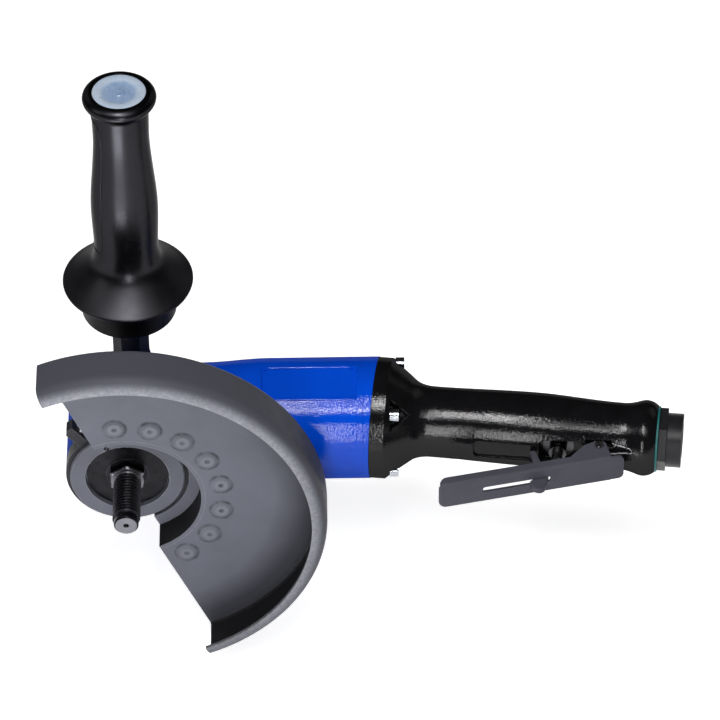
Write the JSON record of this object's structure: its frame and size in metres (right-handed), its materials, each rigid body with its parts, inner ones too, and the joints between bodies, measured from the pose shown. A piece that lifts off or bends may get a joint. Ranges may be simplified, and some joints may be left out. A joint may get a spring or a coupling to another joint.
{
  "type": "air angle grinder",
  "caption": "Air angle grinder: bevel-gear head with threaded spindle, half-round wheel guard on a clamp, side grip, motor barrel and lever-throttle handle with a hose inlet.",
  "frame": {"origin": "on the spindle axis, at the shoulder that a wheel flange seats on", "axes": "-Y out along the threaded spindle to the wheel, +X along the motor barrel to the handle and hose inlet, +Z along the side grip"},
  "size_m": [0.3235, 0.113, 0.3088],
  "materials": {
    "blue_enamel": "glossy orange-peel enamel",
    "black_coat": "hammered black coat, half gloss",
    "guard_grey": "satin grey coat over sheet steel",
    "cover_grey": "matt grey",
    "dark_steel": "blackened, oiled",
    "steel": "ground",
    "zinc": "zinc plated",
    "lever_grey": "satin grey",
    "grip_black": "satin moulding",
    "damper_rubber": "smooth",
    "cap_blue": "translucent",
    "seal_rubber": "moulded",
    "gasket_teal": "matt",
    "vane_resin": "cloth-filled resin",
    "bushing_brass": "turned",
    "iron": "honed"
  },
  "bodies": {
    "body": {"housing": "blue_enamel", "wedge_ring": "blue_enamel", "handle": "black_coat", "handle_screws": "zinc", "bearing_cover": "cover_grey", "spindle_seal": "seal_rubber", "spindle_front_bearing_outer": "steel", "spindle_rear_bearing_outer": "steel", "rotor_front_bearing_outer": "steel", "rotor_rear_bearing_outer": "steel", "motor_cylinder": "iron", "front_end_plate": "iron", "rear_end_plate": "iron", "cylinder_dowel": "steel", "valve_bushing": "dark_steel", "valve_spring": "steel", "lever_pin": "zinc", "inlet_gasket": "gasket_teal", "inlet_bushing": "dark_steel", "inlet_screen": "bushing_brass", "grip_stud": "dark_steel", "damper_cup": "damper_rubber", "side_grip": "grip_black", "grip_end_cap": "cap_blue"},
    "spindle": {"spindle": "dark_steel", "ring_gear": "steel", "gear_key": "steel", "gear_nut": "steel", "dust_washer": "dark_steel", "spindle_front_bearing_inner": "steel", "spindle_rear_bearing_inner": "steel"},
    "rotor": {"rotor": "steel", "pinion": "steel", "vanes": "vane_resin", "rotor_front_bearing_inner": "steel", "rotor_rear_bearing_inner": "steel"},
    "guard": {"guard_shell": "guard_grey", "guard_collar": "guard_grey", "clamp_band": "dark_steel", "clamp_screw": "zinc", "clamp_nut": "zinc"},
    "lever": {"throttle_lever": "lever_grey", "latch_pin": "steel"},
    "latch": {"safety_latch": "lever_grey"},
    "plunger": {"valve_stem": "steel"}
  },
  "joints": [
    {"name": "spindle_spin", "type": "hinge", "parent": "body", "child": "spindle", "pos_m": [0, 0, 0], "axis": [0, 1, 0], "continuous": true},
    {"name": "rotor_spin", "type": "hinge", "parent": "body", "child": "rotor", "pos_m": [0, 0.0446, 0], "axis": [1, 0, 0], "continuous": true},
    {"name": "guard_turn", "type": "hinge", "parent": "body", "child": "guard", "pos_m": [0, 0, 0], "axis": [0, 1, 0], "continuous": true},
    {"name": "lever_press", "type": "hinge", "parent": "body", "child": "lever", "pos_m": [0.23797, 0.01274, 0], "axis": [0, 0, -1], "range_deg": [0, 14], "stiffness_Nm_per_rad": 1.5, "springref_deg": -17.19},
    {"name": "latch_flip", "type": "hinge", "parent": "lever", "child": "latch", "pos_m": [0.21004, -0.00145, 0], "axis": [0, 0, 1], "range_deg": [0, 55.01]},
    {"name": "plunger_slide", "type": "slide", "parent": "body", "child": "plunger", "axis": [0.1323, 0.9912, 0], "range_m": [0, 0.00554], "deforming": ["valve_spring"]}
  ],
  "couplings": [
    {"joint": "rotor_spin", "follows": "spindle_spin", "ratio": 2.0769},
    {"joint": "latch_flip", "follows": "lever_press", "ratio": 3.9286},
    {"joint": "plunger_slide", "follows": "lever_press", "m_per_rad": 0.02265}
  ]
}
